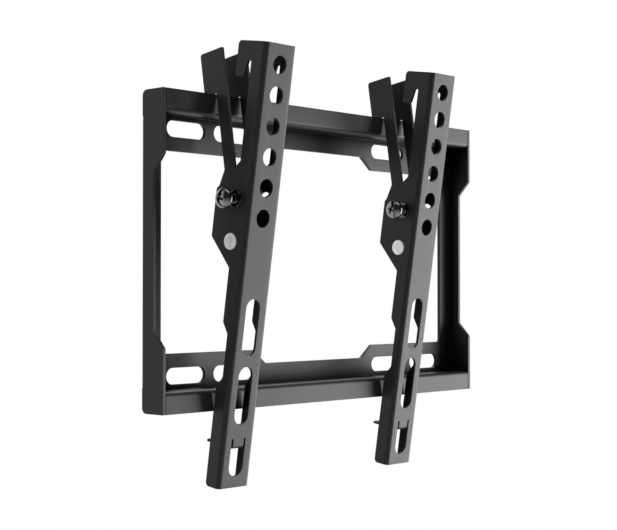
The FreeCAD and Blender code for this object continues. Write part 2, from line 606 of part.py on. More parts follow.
def build_rivet(side, place, sign):
    """Flat-headed pivot rivet through one flange and the hook plate beside it."""
    body = new_body(f"{side}_arm_rivet_{place}", f"Dim.{side}_arm_position", "Dim.pivot_y", "Dim.pivot_z",
                    "Dim.arm_tilt")
    outer = "Dim.arm_width / 2"
    inner = "(Dim.hook_width / 2 - Dim.hook_sheet - Dim.rivet_play)"
    outline = [("rivet_end", f"{inner} - Dim.rivet_end_height"), ("rivet_end", inner),
               ("rivet_shank", inner), ("rivet_shank", outer), ("rivet_head", outer),
               ("rivet_head", f"{outer} + Dim.rivet_head_height")]
    corners = [(f"{sign}({along})", f"Dim.{name} / 2") for name, along in outline]
    corners = [(corners[0][0], "0")] + corners + [(corners[-1][0], "0")]
    profile = new_sketch(body, "profile", "XY_Plane")
    add_outline(profile, corners)
    revolve(body, profile)
    rim = size("rivet_head") / 2
    top = size("arm_width") / 2 + size("rivet_head_height")
    add_rounding(body, "Chamfer", "head_edge", round_edges(body.Tip.Shape, rim, top), "Dim.rivet_head_edge")
    return body


def revolve(body, profile):
    """Turn a half profile once round the body's own X axis."""
    solid = body.newObject("PartDesign::Revolution", f"{profile.Name}_turned")
    solid.Profile = profile
    solid.ReferenceAxis = (origin_part(body, "X_Axis"), [""])
    solid.Angle = 360.0
    doc.recompute()
    return solid


def round_edges(shape, radius, along):
    """Names of the full circles of a radius at a distance along the X axis, either way."""
    names = []
    for index, edge in enumerate(shape.Edges, start=1):
        if edge.Curve.TypeId == "Part::GeomCircle" and near(edge.Curve.Radius, radius) \
                and near(abs(edge.Curve.Center.x), along):
            names.append(f"Edge{index}")
    return names


def clamp_body(side, name):
    """A body on the axis of the tension screw, with its origin on the outside of the flange."""
    return new_body(f"{side}_arm_{name}", f"Dim.{side}_arm_position - Dim.arm_width / 2", "Dim.clamp_y",
                    "Dim.clamp_z", "Dim.arm_tilt")


def build_tension_screw(side):
    """Pan head screw with a cross recess."""
    body = clamp_body(side, "tension_screw")
    under = "-Dim.screw_stand_off"
    face = "-(Dim.screw_stand_off + Dim.screw_head_height)"
    tip = "Dim.nut_seat + Dim.nut_height + Dim.screw_tip_past_nut"
    shank = "Dim.screw_shank / 2"
    head = "Dim.screw_head / 2"
    profile = new_sketch(body, "profile", "XY_Plane")
    add_outline(profile, [(face, "0"), (face, head), (under, head), (under, shank), (tip, shank), (tip, "0")])
    revolve(body, profile)
    along = size("screw_stand_off") + size("screw_head_height")
    rim = round_edges(body.Tip.Shape, size("screw_head") / 2, along)
    add_rounding(body, "Fillet", "head_round", rim, "Dim.screw_head_round")
    along = size("nut_seat") + size("nut_height") + size("screw_tip_past_nut")
    rim = round_edges(body.Tip.Shape, size("screw_shank") / 2, along)
    add_rounding(body, "Chamfer", "tip_chamfer", rim, "Dim.screw_tip_chamfer")
    arm = "Dim.recess_span / 2"
    half = "Dim.recess_width / 2"
    quarter = [(half, arm), (half, half), (arm, half)]
    corners = quarter + [(across, f"-{up}") for across, up in reversed(quarter)]
    corners += [(f"-{across}", f"-{up}") for across, up in quarter]
    corners += [(f"-{across}", up) for across, up in reversed(quarter)]
    recess = new_sketch(body, "recess", "YZ_Plane", face)
    add_outline(recess, corners)
    add_pocket(body, recess, "Dim.recess_depth", reverse=True)
    return body


def build_ring(side, name, seat, bore):
    """A washer on the screw, from a seat along the screw's axis."""
    body = clamp_body(side, name)
    ring = new_sketch(body, "ring", "YZ_Plane", seat)
    add_circle(ring, "0", "0", f"Dim.{name}_outside")
    add_circle(ring, "0", "0", bore)
    add_pad(body, ring, f"Dim.{name}_height", symmetric=False)
    return body


def build_spring_washer(side):
    """Split ring under the screw head."""
    body = build_ring(side, "spring_washer", "-Dim.screw_stand_off",
                      "Dim.screw_shank + 2 * Dim.screw_hole_play")
    half = "Dim.spring_washer_split / 2"
    far = "Dim.spring_washer_outside"
    split = new_sketch(body, "split", "YZ_Plane", "-Dim.screw_stand_off")
    add_outline(split, [(f"-{half}", "0"), (half, "0"), (half, far), (f"-{half}", far)])
    add_pocket(body, split, "Dim.spring_washer_height", reverse=True)
    return body


def build_clamp_nut(side):
    """Hexagon nut inside the channel."""
    body = clamp_body(side, "clamp_nut")
    flat = "Dim.nut_flats / 2"
    near_corner = "Dim.nut_flats / sqrt(3) / 2"
    far_corner = "Dim.nut_flats / sqrt(3)"
    hexagon = new_sketch(body, "hexagon", "YZ_Plane", "Dim.nut_seat")
    add_outline(hexagon, [("0", far_corner), (flat, near_corner), (flat, f"-{near_corner}"),
                          ("0", f"-{far_corner}"), (f"-{flat}", f"-{near_corner}"),
                          (f"-{flat}", near_corner)])
    add_circle(hexagon, "0", "0", "Dim.screw_shank + 2 * Dim.screw_fit")
    add_pad(body, hexagon, "Dim.nut_height", symmetric=False)
    return body


def build_arm(side):
    """Every piece of one arm."""
    loose = "Dim.screw_shank + 2 * Dim.screw_hole_play"
    return [
        build_tv_bracket(side),
        build_hook_bracket(side),
        build_rivet(side, "left", "-"),
        build_rivet(side, "right", ""),
        build_tension_screw(side),
        build_spring_washer(side),
        build_ring(side, "flat_washer", "-Dim.flat_washer_height", loose),
        build_ring(side, "slot_washer", "Dim.washer_seat", loose),
        build_clamp_nut(side),
    ]


def check_document(bodies):
    """Stop where any object failed or any piece is not one sound solid."""
    doc.recompute()
    for item in doc.Objects:
        if "Invalid" in item.State or "Error" in item.State:
            raise RuntimeError(f"{item.Label} failed: {item.State}")
    for body in bodies:
        shape = body.Shape
        if shape.isNull() or not shape.isValid() or len(shape.Solids) != 1:
            raise RuntimeError(f"{body.Label} is not one sound solid")


def write_parts(bodies):
    """One file for each piece, named after it."""
    os.makedirs("parts", exist_ok=True)
    for body in bodies:
        body.Shape.exportStep(f"parts/{body.Label}.step")


fill_sheet()
pieces = [build_wall_plate()]
for arm_side in ("left", "right"):
    pieces += build_arm(arm_side)
doc.removeObject(spare.Name)
check_document(pieces)
write_parts(pieces)
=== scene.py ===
"""Tilting wall mount for a flat screen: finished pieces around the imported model.

The folded sheets get rounded cut edges and a fine black powder coat.
The rivets, washers and nuts are turned, and the screws have their thread and cross recess.
"""

import json
import math

import bmesh
import bpy
from mathutils import Matrix, Vector


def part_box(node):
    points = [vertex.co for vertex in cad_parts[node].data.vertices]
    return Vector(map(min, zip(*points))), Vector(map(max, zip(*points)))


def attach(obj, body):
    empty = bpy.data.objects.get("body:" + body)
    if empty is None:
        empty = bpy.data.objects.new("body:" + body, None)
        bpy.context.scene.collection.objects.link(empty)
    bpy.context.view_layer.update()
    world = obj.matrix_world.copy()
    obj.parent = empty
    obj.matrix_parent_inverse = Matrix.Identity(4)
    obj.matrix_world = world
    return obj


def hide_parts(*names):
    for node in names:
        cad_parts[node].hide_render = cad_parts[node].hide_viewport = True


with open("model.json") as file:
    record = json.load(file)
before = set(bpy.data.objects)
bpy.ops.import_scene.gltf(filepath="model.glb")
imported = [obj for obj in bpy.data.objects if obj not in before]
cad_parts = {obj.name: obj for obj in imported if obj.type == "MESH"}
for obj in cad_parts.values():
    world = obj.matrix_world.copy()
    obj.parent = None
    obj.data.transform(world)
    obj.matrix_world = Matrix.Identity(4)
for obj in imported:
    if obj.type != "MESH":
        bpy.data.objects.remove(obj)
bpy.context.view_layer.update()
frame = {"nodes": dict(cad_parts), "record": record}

bl_info = {
    "name": "Tilting wall mount",
    "version": (1, 0, 0),
    "blender": (4, 5, 0),
    "location": "View3D > Sidebar > Wall mount",
    "description": "Builds the finished pieces of a tilting wall mount",
    "category": "Object",
}

SIDES = ("left", "right")
TURN = 2 * math.pi
QUARTER = math.pi / 2

# Mesh attributes that the finishes read: the rounded cut edges, and how strongly a highlight is painted on
# the hardware
CUT_EDGE = "cut_edge"
PAINTED_HIGHLIGHT = "paint_highlight"

# Distance under which points are one, angle under which faces are one, angle from which an edge is sharp
MERGE = 2e-6
FLAT = math.radians(0.3)
SHARP = math.radians(40)

# How strongly large faces lead the shading of their corners, at most 100
FACE_WEIGHT = 100

# Steps in one turn of the turned and coiled shapes, and in their rounded profiles
TURNED_STEPS = 64
HEAD_STEPS = 72
SHANK_STEPS = 48
THREAD_STEPS = 32
SPRING_STEPS = 60
HEAD_CROWN_STEPS = 12
RIVET_CROWN_STEPS = 6
RIVET_END_STEPS = 4
CORNER_STEPS = 2

# Where most of a noise pattern lies
PATTERN_LOW = 0.3
PATTERN_HIGH = 0.7

# Floor: half its width, its shade, and the share of plain white right under the mount
FLOOR_REACH = 12.0
FLOOR_SHADE = 0.92
FLOOR_GLOW = 0.7

# How far back reflections find full white: in metres on the floor, as the Y of a direction in the room
WHITE_FROM = 0.4

# The point that all lamps face, and the place, width and height of each lamp
LAMP_AIM = (0.0, -0.03, 0.0)
LAMPS = {
    "key": ((1.015, -0.628, -0.18), 0.99, 1.0),
    "fill": ((-1.5, -0.5, 0.4), 0.9, 1.2),
    "top": ((0.1, -0.5, 1.6), 1.2, 1.2),
    "rim": ((0.75, 0.66, 1.2), 0.4, 0.4),
}

# Camera: sensor width in millimetres and nearest distance that it sees
SENSOR_WIDTH = 36.0
NEAREST = 0.01


# Settings


class CoatSettings(bpy.types.PropertyGroup):
    """Finish of the folded sheets."""

    colour: bpy.props.FloatVectorProperty(
        name="Coat colour", description="Colour of the powder coat",
        subtype="COLOR", size=3, min=0.0, max=1.0, default=(0.017, 0.017, 0.0175))
    # Painted highlight: a lighter colour laid on the rounded cut edges
    edge_highlight: bpy.props.FloatVectorProperty(
        name="Edge colour", description="Colour of the coat where it thins over a cut edge",
        subtype="COLOR", size=3, min=0.0, max=1.0, default=(0.03, 0.03, 0.031))
    roughness: bpy.props.FloatProperty(
        name="Roughness", description="Roughness of the powder coat",
        subtype="FACTOR", min=0.0, max=1.0, default=0.43)
    grain: bpy.props.FloatProperty(
        name="Grain", description="Width of one grain of the coat",
        unit="LENGTH", min=0.0001, default=0.0006)
    gloss: bpy.props.FloatProperty(
        name="Gloss", description="Specular level of the coat on open faces",
        subtype="FACTOR", min=0.0, max=1.0, default=0.22)
    # Reach of the painted shade: faces of the same sheet nearer than this darken the coat's colour and
    # weaken its gloss
    recess: bpy.props.FloatProperty(
        name="Recess reach", description="How near another face of the sheet makes the coat dull",
        unit="LENGTH", min=0.001, default=0.03)
    edge_round: bpy.props.FloatProperty(
        name="Edge rounding", description="Radius of the coated cut edges",
        unit="LENGTH", min=0.00005, default=0.00022)


class HardwareSettings(bpy.types.PropertyGroup):
    """Shapes and finishes of the rivets, screws, washers and nuts."""

    zinc: bpy.props.FloatVectorProperty(
        name="Zinc colour", description="Colour of the black zinc on screws, washers and nuts",
        subtype="COLOR", size=3, min=0.0, max=1.0, default=(0.1, 0.1, 0.103))
    # Painted highlight: the colour laid on the screw domes and washer rims
    highlight_colour: bpy.props.FloatVectorProperty(
        name="Burnished colour", description="Colour of the zinc that is rubbed bright, on heads and rims",
        subtype="COLOR", size=3, min=0.0, max=1.0, default=(0.42, 0.42, 0.42))
    steel: bpy.props.FloatVectorProperty(
        name="Steel colour", description="Colour of the bare rivet heads",
        subtype="COLOR", size=3, min=0.0, max=1.0, default=(0.92, 0.92, 0.91))
    head_height: bpy.props.FloatProperty(
        name="Head height", description="Height of the pan head of a screw",
        unit="LENGTH", min=0.001, default=0.004)
    head_crown: bpy.props.FloatProperty(
        name="Head crown", description="How far the pan head rises above its straight side",
        unit="LENGTH", min=0.0005, default=0.0034)
    shank_radius: bpy.props.FloatProperty(
        name="Shank radius", description="Radius over the thread of a screw",
        unit="LENGTH", min=0.001, default=0.0025)
    thread_pitch: bpy.props.FloatProperty(
        name="Thread pitch", description="Distance between two turns of the thread",
        unit="LENGTH", min=0.0003, default=0.0008)
    thread_depth: bpy.props.FloatProperty(
        name="Thread depth", description="Depth of the thread",
        unit="LENGTH", min=0.0001, default=0.00045)
    # Painted highlight: how strongly the screw domes take the highlight colour
    head_highlight: bpy.props.FloatProperty(
        name="Head shine", description="How far the screw heads are rubbed bright",
        subtype="FACTOR", min=0.0, max=1.0, default=0.45)
    recess_span: bpy.props.FloatProperty(
        name="Recess span", description="Length of the arms of the cross recess",
        unit="LENGTH", min=0.001, default=0.0056)
    recess_width: bpy.props.FloatProperty(
        name="Recess width", description="Width of the arms of the cross recess",
        unit="LENGTH", min=0.0005, default=0.0013)
    recess_depth: bpy.props.FloatProperty(
        name="Recess depth", description="Depth of the cross recess",
        unit="LENGTH", min=0.0005, default=0.0022)
    washer_bore: bpy.props.FloatProperty(
        name="Washer bore", description="Inner radius of the washers",
        unit="LENGTH", min=0.001, default=0.00275)
    spring_rise: bpy.props.FloatProperty(
        name="Spring rise", description="How far the two ends of a spring washer stand apart",
        unit="LENGTH", min=0.0, default=0.00035)
    spring_gap: bpy.props.FloatProperty(
        name="Spring gap", description="Opening of a spring washer",
        subtype="ANGLE", min=0.0, default=math.radians(12))
    edge_round: bpy.props.FloatProperty(
        name="Edge rounding", description="Radius of the edges of the washers",
        unit="LENGTH", min=0.00002, default=0.00012)


class StageSettings(bpy.types.PropertyGroup):
    """Camera, light and floor."""

    floor_height: bpy.props.FloatProperty(
        name="Floor height", description="Height of the floor, from the middle of the wall plate",
        unit="LENGTH", default=-0.8)
    shadow_reach: bpy.props.FloatProperty(
        name="Shadow reach", description="Distance from the mount at which the floor is plain white",
        unit="LENGTH", min=0.1, default=0.6)
    camera_place: bpy.props.FloatVectorProperty(
        name="Camera place", description="Where the camera stands",
        subtype="TRANSLATION", unit="LENGTH", size=3, default=(-0.5712, -0.5188, -0.019))
    camera_turn: bpy.props.FloatProperty(
        name="Camera turn", description="Direction of the camera, from straight ahead to the right",
        subtype="ANGLE", default=math.radians(47.556))
    camera_pitch: bpy.props.FloatProperty(
        name="Camera pitch", description="How far the camera looks up",
        subtype="ANGLE", default=math.radians(1.08))
    camera_lens: bpy.props.FloatProperty(
        name="Camera lens", description="Focal length in millimetres",
        min=10.0, default=81.90)
    camera_slide: bpy.props.FloatProperty(
        name="Camera slide", description="Sideways shift of the picture as a share of its width",
        default=0.0008)
    camera_rise: bpy.props.FloatProperty(
        name="Camera rise", description="Upward shift of the picture as a share of its width",
        default=-0.0013)
    key_power: bpy.props.FloatProperty(
        name="Key light", description="Power of the large lamp at the front right",
        unit="POWER", min=0.0, default=27.2)
    fill_power: bpy.props.FloatProperty(
        name="Fill light", description="Power of the lamp at the front left",
        unit="POWER", min=0.0, default=6.0)
    top_power: bpy.props.FloatProperty(
        name="Top light", description="Power of the lamp above",
        unit="POWER", min=0.0, default=8.0)
    rim_power: bpy.props.FloatProperty(
        name="Rim light", description="Power of the small lamp above and behind",
        unit="POWER", min=0.0, default=13.0)
    front_share: bpy.props.FloatProperty(
        name="Front share", description="Share of the white in front of the mount that reflections show",
        subtype="FACTOR", min=0.0, max=1.0, default=0.05)
    ambient: bpy.props.FloatProperty(
        name="Ambient", description="Strength of the light from all round",
        min=0.0, default=0.25)


# Shapes


def middle(low, high):
    """Centre of a box."""
    return (low + high) / 2


def folded_sheet(node, edge_round):
    """A merged copy of a folded sheet with its cut edges rounded and marked."""
    mesh_data = bmesh.new()
    mesh_data.from_mesh(frame["nodes"][node].data)
    layer = mesh_data.faces.layers.float.new(CUT_EDGE)
    bmesh.ops.remove_doubles(mesh_data, verts=mesh_data.verts, dist=MERGE)
    bmesh.ops.dissolve_limit(mesh_data, angle_limit=FLAT, verts=mesh_data.verts, edges=mesh_data.edges)
    sharp = [edge for edge in mesh_data.edges
             if len(edge.link_faces) == 2 and edge.calc_face_angle_signed(0.0) > SHARP]
    rounded = bmesh.ops.bevel(mesh_data, geom=sharp, offset=edge_round, offset_type="OFFSET", segments=2,
                              profile=0.5, affect="EDGES", clamp_overlap=False, material=-1)
    for face in rounded["faces"]:
        face[layer] = 1.0
    bmesh.ops.triangulate(mesh_data, faces=mesh_data.faces, quad_method="BEAUTY", ngon_method="BEAUTY")
    return mesh_data


def lathe(mesh_data, profile, centre, steps=TURNED_STEPS, closed=False):
    """Turn a profile of (along X, radius) points once round an axis along X through a centre."""
    points = [mesh_data.verts.new((along, centre.y, centre.z + radius)) for along, radius in profile]
    edges = [mesh_data.edges.new(pair) for pair in zip(points, points[1:])]
    if closed:
        edges.append(mesh_data.edges.new((points[-1], points[0])))
    bmesh.ops.spin(mesh_data, geom=points + edges, cent=centre, axis=(1, 0, 0), angle=TURN, steps=steps,
                   use_merge=True)
    bmesh.ops.remove_doubles(mesh_data, verts=mesh_data.verts, dist=MERGE)
    bmesh.ops.recalc_face_normals(mesh_data, faces=mesh_data.faces)


def arc(along, radius, start, end, size, count):
    """Points of a rounded profile corner round a centre at (along, radius)."""
    points = []
    for index in range(count + 1):
        angle = start + (end - start) * index / count
        points.append((along + size * math.cos(angle), radius + size * math.sin(angle)))
    return points


def ring(low, high, inner, outer, rounding):
    """Closed profile of a ring with four rounded edges."""
    profile = arc(high - rounding, outer - rounding, 0, QUARTER, rounding, CORNER_STEPS)
    profile += arc(low + rounding, outer - rounding, QUARTER, 2 * QUARTER, rounding, CORNER_STEPS)
    profile += arc(low + rounding, inner + rounding, 2 * QUARTER, 3 * QUARTER, rounding, CORNER_STEPS)
    profile += arc(high - rounding, inner + rounding, 3 * QUARTER, 4 * QUARTER, rounding, CORNER_STEPS)
    return profile


def coil(mesh_data, section, centre, angle, steps, advance):
    """Sweep a closed section of (along X, radius) points round and along the X axis, and cap its ends."""
    points = [mesh_data.verts.new((along, centre.y, centre.z + radius)) for along, radius in section]
    edges = [mesh_data.edges.new(pair) for pair in zip(points, points[1:] + points[:1])]
    bmesh.ops.spin(mesh_data, geom=points + edges, cent=centre, axis=(1, 0, 0), angle=angle, steps=steps,
                   dvec=(advance / steps, 0, 0))
    open_edges = [edge for edge in mesh_data.edges if len(edge.link_faces) == 1]
    bmesh.ops.holes_fill(mesh_data, edges=open_edges, sides=len(section))
    bmesh.ops.recalc_face_normals(mesh_data, faces=mesh_data.faces)


def carve(mesh_data, tools, operation):
    """Combine a closed shape with each of several tool shapes."""
    mesh = bpy.data.meshes.new("carved")
    mesh_data.to_mesh(mesh)
    mesh_data.free()
    piece = bpy.data.objects.new("carved", mesh)
    bpy.context.scene.collection.objects.link(piece)
    cutters = []
    for tool in tools:
        tool_mesh = bpy.data.meshes.new("cutter")
        tool.to_mesh(tool_mesh)
        tool.free()
        cutter = bpy.data.objects.new("cutter", tool_mesh)
        bpy.context.scene.collection.objects.link(cutter)
        cutters.append(cutter)
        cut = piece.modifiers.new("Cut", "BOOLEAN")
        cut.object = cutter
        cut.operation = operation
        cut.solver = "EXACT"
    done = bpy.data.meshes.new_from_object(piece.evaluated_get(bpy.context.evaluated_depsgraph_get()))
    result = bmesh.new()
    result.from_mesh(done)
    for scrap in [piece] + cutters:
        scrap_mesh = scrap.data
        bpy.data.objects.remove(scrap)
        bpy.data.meshes.remove(scrap_mesh)
    bpy.data.meshes.remove(done)
    bmesh.ops.remove_doubles(result, verts=result.verts, dist=MERGE)
    return result


def add_shape(target, extra):
    """Put one bmesh into another."""
    mesh = bpy.data.meshes.new("joined")
    extra.to_mesh(mesh)
    extra.free()
    target.from_mesh(mesh)
    bpy.data.meshes.remove(mesh)


def paint_highlight(mesh_data, centre, level):
    """Note how strongly a highlight is painted on each point, from its place along X and its distance from
    the axis.
    """
    layer = mesh_data.verts.layers.float.new(PAINTED_HIGHLIGHT)
    for vert in mesh_data.verts:
        vert[layer] = level(vert.co.x, math.hypot(vert.co.y - centre.y, vert.co.z - centre.z))


def recess_arm(centre, face, settings, turn):
    """One tapered bar of a cross recess, sunk from the face of a screw head."""
    mouth_share = 1.04
    floor_span_share = 0.45
    floor_width_share = 0.6
    overshoot = 0.1
    bar = bmesh.new()
    bmesh.ops.create_cube(bar, size=1.0)
    for vert in bar.verts:
        deep = vert.co.x > 0
        along = floor_span_share if deep else mouth_share
        across = floor_width_share if deep else mouth_share
        vert.co.y *= settings.recess_span * along
        vert.co.z *= settings.recess_width * across
        vert.co.x = settings.recess_depth if deep else -overshoot * settings.recess_depth
    bmesh.ops.rotate(bar, verts=bar.verts, cent=(0, 0, 0), matrix=Matrix.Rotation(turn, 3, "X"))
    bmesh.ops.translate(bar, verts=bar.verts, vec=(face, centre.y, centre.z))
    return bar


def screw_head(centre, face, head_radius, rim, settings):
    """Pan head with a domed face and a cross recess."""
    fullness = 0.9
    recess_turn = math.radians(24)
    under = face + settings.head_height
    side = face + settings.head_crown
    profile = [(under, 0.0), (under, head_radius - rim), (under - rim, head_radius)]
    for index in range(HEAD_CROWN_STEPS):
        angle = QUARTER * index / HEAD_CROWN_STEPS
        along = side - settings.head_crown * math.sin(angle)
        profile.append((along, head_radius * math.cos(angle) ** fullness))
    profile.append((face, 0.0))
    head = bmesh.new()
    lathe(head, profile, centre, steps=HEAD_STEPS)
    bars = [recess_arm(centre, face, settings, recess_turn + quarters * QUARTER) for quarters in (0, 1)]
    return carve(head, bars, "DIFFERENCE")


def screw_thread(centre, start, end, root, settings):
    """Rolled thread that winds from one place along X to another."""
    pitch = settings.thread_pitch
    crest = settings.shank_radius
    inside = root - 0.2 * settings.thread_depth
    turns = int((end - start) / pitch) - 1
    crest_start = start + 0.44 * pitch
    crest_end = start + 0.56 * pitch
    section = [(start, inside), (crest_start, crest), (crest_end, crest), (start + pitch, inside)]
    thread = bmesh.new()
    coil(thread, section, centre, TURN * turns, THREAD_STEPS * turns, pitch * turns)
    return thread


def screw_shape(node, settings):
    """Pan head with cross recess, shank core and rolled thread."""
    low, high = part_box(node)
    centre = middle(low, high)
    face = low.x
    under = face + settings.head_height
    rim = 0.0002
    screw = screw_head(centre, face, (high.z - low.z) / 2, rim, settings)
    root = settings.shank_radius - settings.thread_depth
    tip = high.x
    cone = settings.thread_depth
    core = [(under - rim, 0.0), (under - rim, root), (tip - cone, root), (tip, root - cone), (tip, 0.0)]
    shank = bmesh.new()
    lathe(shank, core, centre, steps=SHANK_STEPS)
    add_shape(screw, shank)
    thread_start = under + 0.3 * settings.thread_pitch
    add_shape(screw, screw_thread(centre, thread_start, tip - cone, root, settings))
    fade = settings.head_height / 2
    dull_share = 0.4

    def highlight_share(along, radius):
        """Painted highlight: full on the dome, none on the underside of the head, the shank and the thread.
        """
        return settings.head_highlight * min(max((under - along) / fade - dull_share, 0.0), 1.0)

    paint_highlight(screw, centre, highlight_share)
    return screw


def tilt_of(node):
    """Lean of the arm that carries a node, from the record's hole mounts."""
    side = node.split("_")[0]
    for mount in frame["record"]["mounts"]:
        if mount["name"] == f"{side}_screen_holes_end":
            return math.atan2(-mount["axis"][2], -mount["axis"][1])
    raise RuntimeError(f"no mount gives the lean of {node}")


def nut_shape(node, settings):
    """Hexagon nut with chamfered corners and a plain bore."""
    low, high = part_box(node)
    centre = middle(low, high)
    corner = max(high.y - low.y, high.z - low.z) / 2
    hexagon = bmesh.new()
    bmesh.ops.create_circle(hexagon, cap_ends=True, radius=corner, segments=6)
    extruded = bmesh.ops.extrude_face_region(hexagon, geom=list(hexagon.faces))
    raised = [item for item in extruded["geom"] if isinstance(item, bmesh.types.BMVert)]
    bmesh.ops.translate(hexagon, verts=raised, vec=(0, 0, high.x - low.x))
    bmesh.ops.recalc_face_normals(hexagon, faces=hexagon.faces)
    upright = Matrix.Rotation(tilt_of(node), 3, "X") @ Matrix.Rotation(QUARTER, 3, "Y")
    bmesh.ops.rotate(hexagon, verts=hexagon.verts, cent=(0, 0, 0), matrix=upright)
    bmesh.ops.translate(hexagon, verts=hexagon.verts, vec=(low.x, centre.y, centre.z))
    flat = corner * math.cos(math.pi / 6)
    slope = 0.5 * (corner - flat)
    barrel = bmesh.new()
    lathe(barrel, [(low.x, 0.0), (low.x, flat - slope), (low.x + 2 * slope, corner + slope),
                   (high.x - 2 * slope, corner + slope), (high.x, flat - slope), (high.x, 0.0)], centre)
    blank = carve(hexagon, [barrel], "INTERSECT")
    play = 0.00005
    bore_radius = settings.shank_radius + play
    lead = 0.0003
    mouth = bore_radius + 2 * lead
    bore = bmesh.new()
    lathe(bore, [(low.x - lead, 0.0), (low.x - lead, mouth), (low.x + lead, bore_radius),
                 (high.x - lead, bore_radius), (high.x + lead, mouth), (high.x + lead, 0.0)], centre)
    return carve(blank, [bore], "DIFFERENCE")


def paint_rim_highlight(mesh_data, centre, outer, rounding):
    """Paint a highlight on the rounded outer edges of a washer."""
    bright_from = outer - 0.5 * rounding
    bright_to = outer - 0.1 * rounding
    paint_highlight(mesh_data, centre, lambda along, radius: 1.0 if bright_from < radius < bright_to else 0.0)


def flat_washer_shape(node, settings):
    """Flat ring with rounded edges that carry a painted highlight."""
    low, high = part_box(node)
    centre = middle(low, high)
    outer = (high.z - low.z) / 2
    washer = bmesh.new()
    lathe(washer, ring(low.x, high.x, settings.washer_bore, outer, settings.edge_round), centre, closed=True)
    paint_rim_highlight(washer, centre, outer, settings.edge_round)
    return washer


def spring_washer_shape(node, settings):
    """Split ring whose two ends stand apart."""
    low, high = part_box(node)
    centre = middle(low, high)
    outer = (high.z - low.z) / 2
    rise = settings.spring_rise
    section = ring(low.x, high.x - rise, settings.washer_bore, outer, settings.edge_round)
    washer = bmesh.new()
    coil(washer, section, centre, TURN - settings.spring_gap, SPRING_STEPS, rise)
    paint_rim_highlight(washer, centre, outer, settings.edge_round)
    return washer


def rivet_shape(node, outward):
    """Flat, slightly crowned head, plain shank and formed inner end."""
    low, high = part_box(node)
    head_radius = (high.z - low.z) / 2
    length = high.x - low.x
    head = 0.0007
    crown = 0.00018
    edge = 0.00025
    corner = 0.3 * edge
    end = 0.0012
    end_radius = 0.004
    end_round = 0.4 * end
    shank = 0.003
    profile = [(0.0, 0.0)]
    for index in range(1, RIVET_CROWN_STEPS + 1):
        share = index / RIVET_CROWN_STEPS
        profile.append((crown * share * share, (head_radius - edge) * share))
    profile += [(crown + corner, head_radius - corner), (crown + edge, head_radius), (head, head_radius),
                (head, shank), (length - end, shank), (length - end, end_radius)]
    profile += arc(length - end_round, end_radius - end_round, QUARTER, 0, end_round, RIVET_END_STEPS)
    profile.append((length, 0.0))
    start = high.x if outward > 0 else low.x
    placed = [(start - outward * along, radius) for along, radius in profile]
    rivet = bmesh.new()
    lathe(rivet, placed, middle(low, high))
    return rivet


# Finishes


def new_material(name):
    """A node material with its nodes, its links and its shader."""
    material = bpy.data.materials.new(name)
    material.use_nodes = True
    nodes = material.node_tree.nodes
    return material, nodes, material.node_tree.links, nodes["Principled BSDF"]


def tint(colour, share):
    """A darker or lighter shade of a colour."""
    return tuple(share * part for part in colour)


def noise(nodes, links, place, scale, detail):
    """A noise pattern on the object's own coordinates."""
    pattern = nodes.new("ShaderNodeTexNoise")
    pattern.inputs["Scale"].default_value = scale
    pattern.inputs["Detail"].default_value = detail
    links.new(place, pattern.inputs["Vector"])
    return pattern.outputs["Fac"]


def span(nodes, links, value, low, high, start=PATTERN_LOW, end=PATTERN_HIGH):
    """Map a value from its range, start to end, to another, low to high."""
    ranged = nodes.new("ShaderNodeMapRange")
    ranged.inputs["From Min"].default_value = start
    ranged.inputs["From Max"].default_value = end
    ranged.inputs["To Min"].default_value = low
    ranged.inputs["To Max"].default_value = high
    links.new(value, ranged.inputs["Value"])
    return ranged.outputs["Result"]


def blend_colours(nodes, links, factor, first, second):
    """Mix two colours, either of which may be a socket."""
    mix = nodes.new("ShaderNodeMix")
    mix.data_type = "RGBA"
    links.new(factor, mix.inputs["Factor"])
    for socket, colour in ((mix.inputs["A"], first), (mix.inputs["B"], second)):
        if isinstance(colour, bpy.types.NodeSocket):
            links.new(colour, socket)
        else:
            socket.default_value = (*colour, 1.0)
    return mix.outputs["Result"]


def mottle(nodes, links, pattern, first, second):
    """Two colours that change into each other with a noise pattern."""
    return blend_colours(nodes, links, span(nodes, links, pattern, 0.0, 1.0), first, second)


def marked(nodes, name):
    """The value of a mesh attribute."""
    attribute = nodes.new("ShaderNodeAttribute")
    attribute.attribute_name = name
    return attribute.outputs["Fac"]


def emboss(nodes, links, shader, height, strength, depth):
    """Raise the surface by a pattern."""
    bump = nodes.new("ShaderNodeBump")
    bump.inputs["Strength"].default_value = strength
    bump.inputs["Distance"].default_value = depth
    links.new(height, bump.inputs["Height"])
    links.new(bump.outputs["Normal"], shader.inputs["Normal"])


def openness_of(nodes, links, reach):
    """How open a point of a sheet lies: 0 deep in a fold, 1 on an outer face."""
    recess = nodes.new("ShaderNodeAmbientOcclusion")
    recess.samples = 8
    recess.only_local = True
    recess.inputs["Distance"].default_value = reach
    return span(nodes, links, recess.outputs["AO"], 0.0, 1.0, start=0.5, end=0.95)


